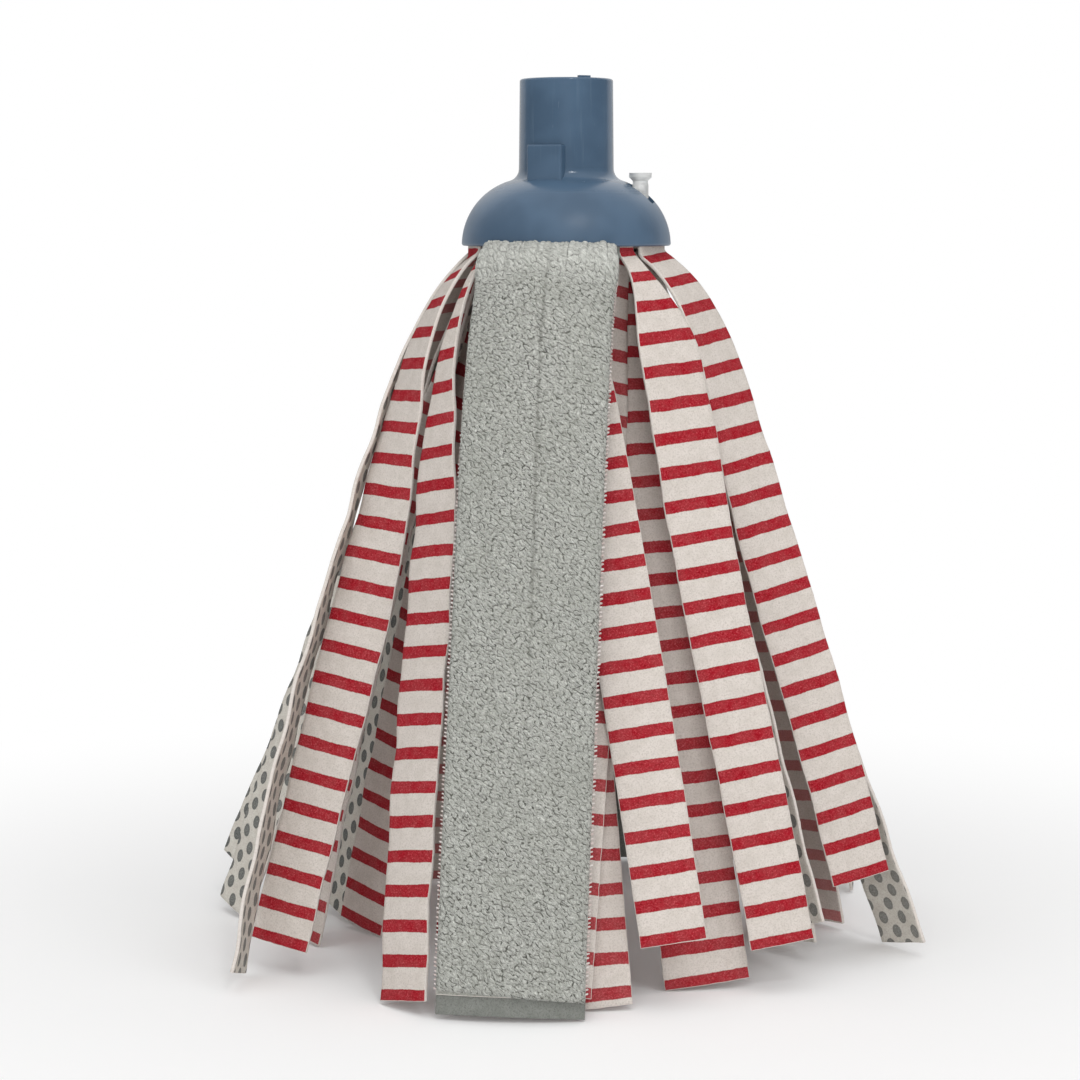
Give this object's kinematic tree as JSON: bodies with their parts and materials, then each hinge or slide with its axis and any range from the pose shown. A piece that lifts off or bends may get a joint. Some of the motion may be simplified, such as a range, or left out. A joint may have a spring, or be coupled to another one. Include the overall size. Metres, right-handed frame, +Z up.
{
  "type": "mop",
  "caption": "Strip mop head: moulded socket cap for a push-in handle, with striped and dotted cloth strips and wide pile bands hanging from its rim.",
  "frame": {"origin": "centre of the footprint on the floor, on the axis of the handle socket", "axes": "+Z up along the handle socket, front with the pile band towards -Y, the shoulder peg towards +X"},
  "size_m": [0.2331, 0.2074, 0.2791],
  "materials": {
    "cap_plastic": "satin",
    "retainer_plastic": "matte",
    "peg_plastic": "translucent",
    "gathered_cloth": "felted",
    "band_backing": "woven",
    "band_pile": "pile",
    "striped_cloth": "felted, printed stripes",
    "dotted_cloth": "felted, printed dots"
  },
  "bodies": {
    "head": {"socket_cap": "cap_plastic", "strip_retainer": "retainer_plastic", "gathered_heads": "gathered_cloth", "hanger_peg": "peg_plastic", "striped_strip_front_b": "striped_cloth", "striped_strip_front_d": "striped_cloth", "striped_strip_front_e": "striped_cloth", "striped_strip_front_f": "striped_cloth", "striped_strip_front_g": "striped_cloth", "striped_strip_front_h": "striped_cloth", "striped_strip_front_i": "striped_cloth", "striped_strip_back_b": "striped_cloth", "striped_strip_back_d": "striped_cloth", "striped_strip_back_e": "striped_cloth", "striped_strip_back_f": "striped_cloth", "striped_strip_back_g": "striped_cloth", "striped_strip_back_h": "striped_cloth", "striped_strip_back_i": "striped_cloth", "dotted_strip_front_b": "dotted_cloth", "dotted_strip_front_c": "dotted_cloth", "dotted_strip_front_d": "dotted_cloth", "dotted_strip_back_b": "dotted_cloth", "dotted_strip_back_c": "dotted_cloth", "dotted_strip_back_d": "dotted_cloth"},
    "scrub_band_front": {"scrub_band_front_backing": "band_backing", "scrub_band_front_pile": "band_pile"},
    "scrub_band_back": {"scrub_band_back_backing": "band_backing", "scrub_band_back_pile": "band_pile"},
    "striped_strip_front_a_tail": {"striped_strip_front_a": "striped_cloth"},
    "striped_strip_front_c_tail": {"striped_strip_front_c": "striped_cloth"},
    "striped_strip_front_j_tail": {"striped_strip_front_j": "striped_cloth"},
    "striped_strip_front_k_tail": {"striped_strip_front_k": "striped_cloth"},
    "striped_strip_back_a_tail": {"striped_strip_back_a": "striped_cloth"},
    "striped_strip_back_c_tail": {"striped_strip_back_c": "striped_cloth"},
    "striped_strip_back_j_tail": {"striped_strip_back_j": "striped_cloth"},
    "striped_strip_back_k_tail": {"striped_strip_back_k": "striped_cloth"},
    "dotted_strip_front_a_tail": {"dotted_strip_front_a": "dotted_cloth"},
    "dotted_strip_back_a_tail": {"dotted_strip_back_a": "dotted_cloth"}
  },
  "joints": [
    {"name": "scrub_band_front_lift", "type": "hinge", "parent": "head", "child": "scrub_band_front", "pos_m": [-0.00645, -0.03032, 0.22315], "axis": [-0.9778, 0.2078, -0.0256], "range_deg": [0, 45]},
    {"name": "striped_strip_front_a_lift", "type": "hinge", "parent": "head", "child": "striped_strip_front_a_tail", "pos_m": [-0.02917, -0.00782, 0.22255], "axis": [-0.2552, 0.9524, -0.1667], "range_deg": [0, 55]},
    {"name": "striped_strip_front_c_lift", "type": "hinge", "parent": "head", "child": "striped_strip_front_c_tail", "pos_m": [-0.02534, -0.01583, 0.22335], "axis": [-0.515, 0.8242, -0.2354], "range_deg": [0, 55]},
    {"name": "striped_strip_front_j_lift", "type": "hinge", "parent": "head", "child": "striped_strip_front_j_tail", "pos_m": [0.01818, -0.02412, 0.22348], "axis": [-0.7965, -0.6002, -0.0724], "range_deg": [0, 55]},
    {"name": "striped_strip_front_k_lift", "type": "hinge", "parent": "head", "child": "striped_strip_front_k_tail", "pos_m": [0.02667, -0.01418, 0.22307], "axis": [-0.4682, -0.8805, -0.0745], "range_deg": [0, 55]},
    {"name": "dotted_strip_front_a_lift", "type": "hinge", "parent": "striped_strip_front_a_tail", "child": "dotted_strip_front_a_tail", "pos_m": [-0.03029, 0.00372, 0.22292], "axis": [0.112, 0.9124, -0.3937], "range_deg": [0, 35]},
    {"name": "scrub_band_back_lift", "type": "hinge", "parent": "head", "child": "scrub_band_back", "pos_m": [0.00645, 0.03032, 0.22315], "axis": [0.9778, -0.2078, -0.0256], "range_deg": [0, 45]},
    {"name": "striped_strip_back_a_lift", "type": "hinge", "parent": "head", "child": "striped_strip_back_a_tail", "pos_m": [0.02917, 0.00782, 0.22255], "axis": [0.2552, -0.9524, -0.1667], "range_deg": [0, 55]},
    {"name": "striped_strip_back_c_lift", "type": "hinge", "parent": "head", "child": "striped_strip_back_c_tail", "pos_m": [0.02534, 0.01583, 0.22335], "axis": [0.515, -0.8242, -0.2354], "range_deg": [0, 55]},
    {"name": "striped_strip_back_j_lift", "type": "hinge", "parent": "head", "child": "striped_strip_back_j_tail", "pos_m": [-0.01818, 0.02412, 0.22363], "axis": [0.7984, 0.6016, 0.024], "range_deg": [0, 55]},
    {"name": "striped_strip_back_k_lift", "type": "hinge", "parent": "head", "child": "striped_strip_back_k_tail", "pos_m": [-0.02533, 0.01645, 0.22305], "axis": [0.5414, 0.8337, 0.1091], "range_deg": [0, 55]},
    {"name": "dotted_strip_back_a_lift", "type": "hinge", "parent": "striped_strip_back_a_tail", "child": "dotted_strip_back_a_tail", "pos_m": [0.03029, -0.00372, 0.22292], "axis": [-0.112, -0.9124, -0.3937], "range_deg": [0, 35]}
  ]
}
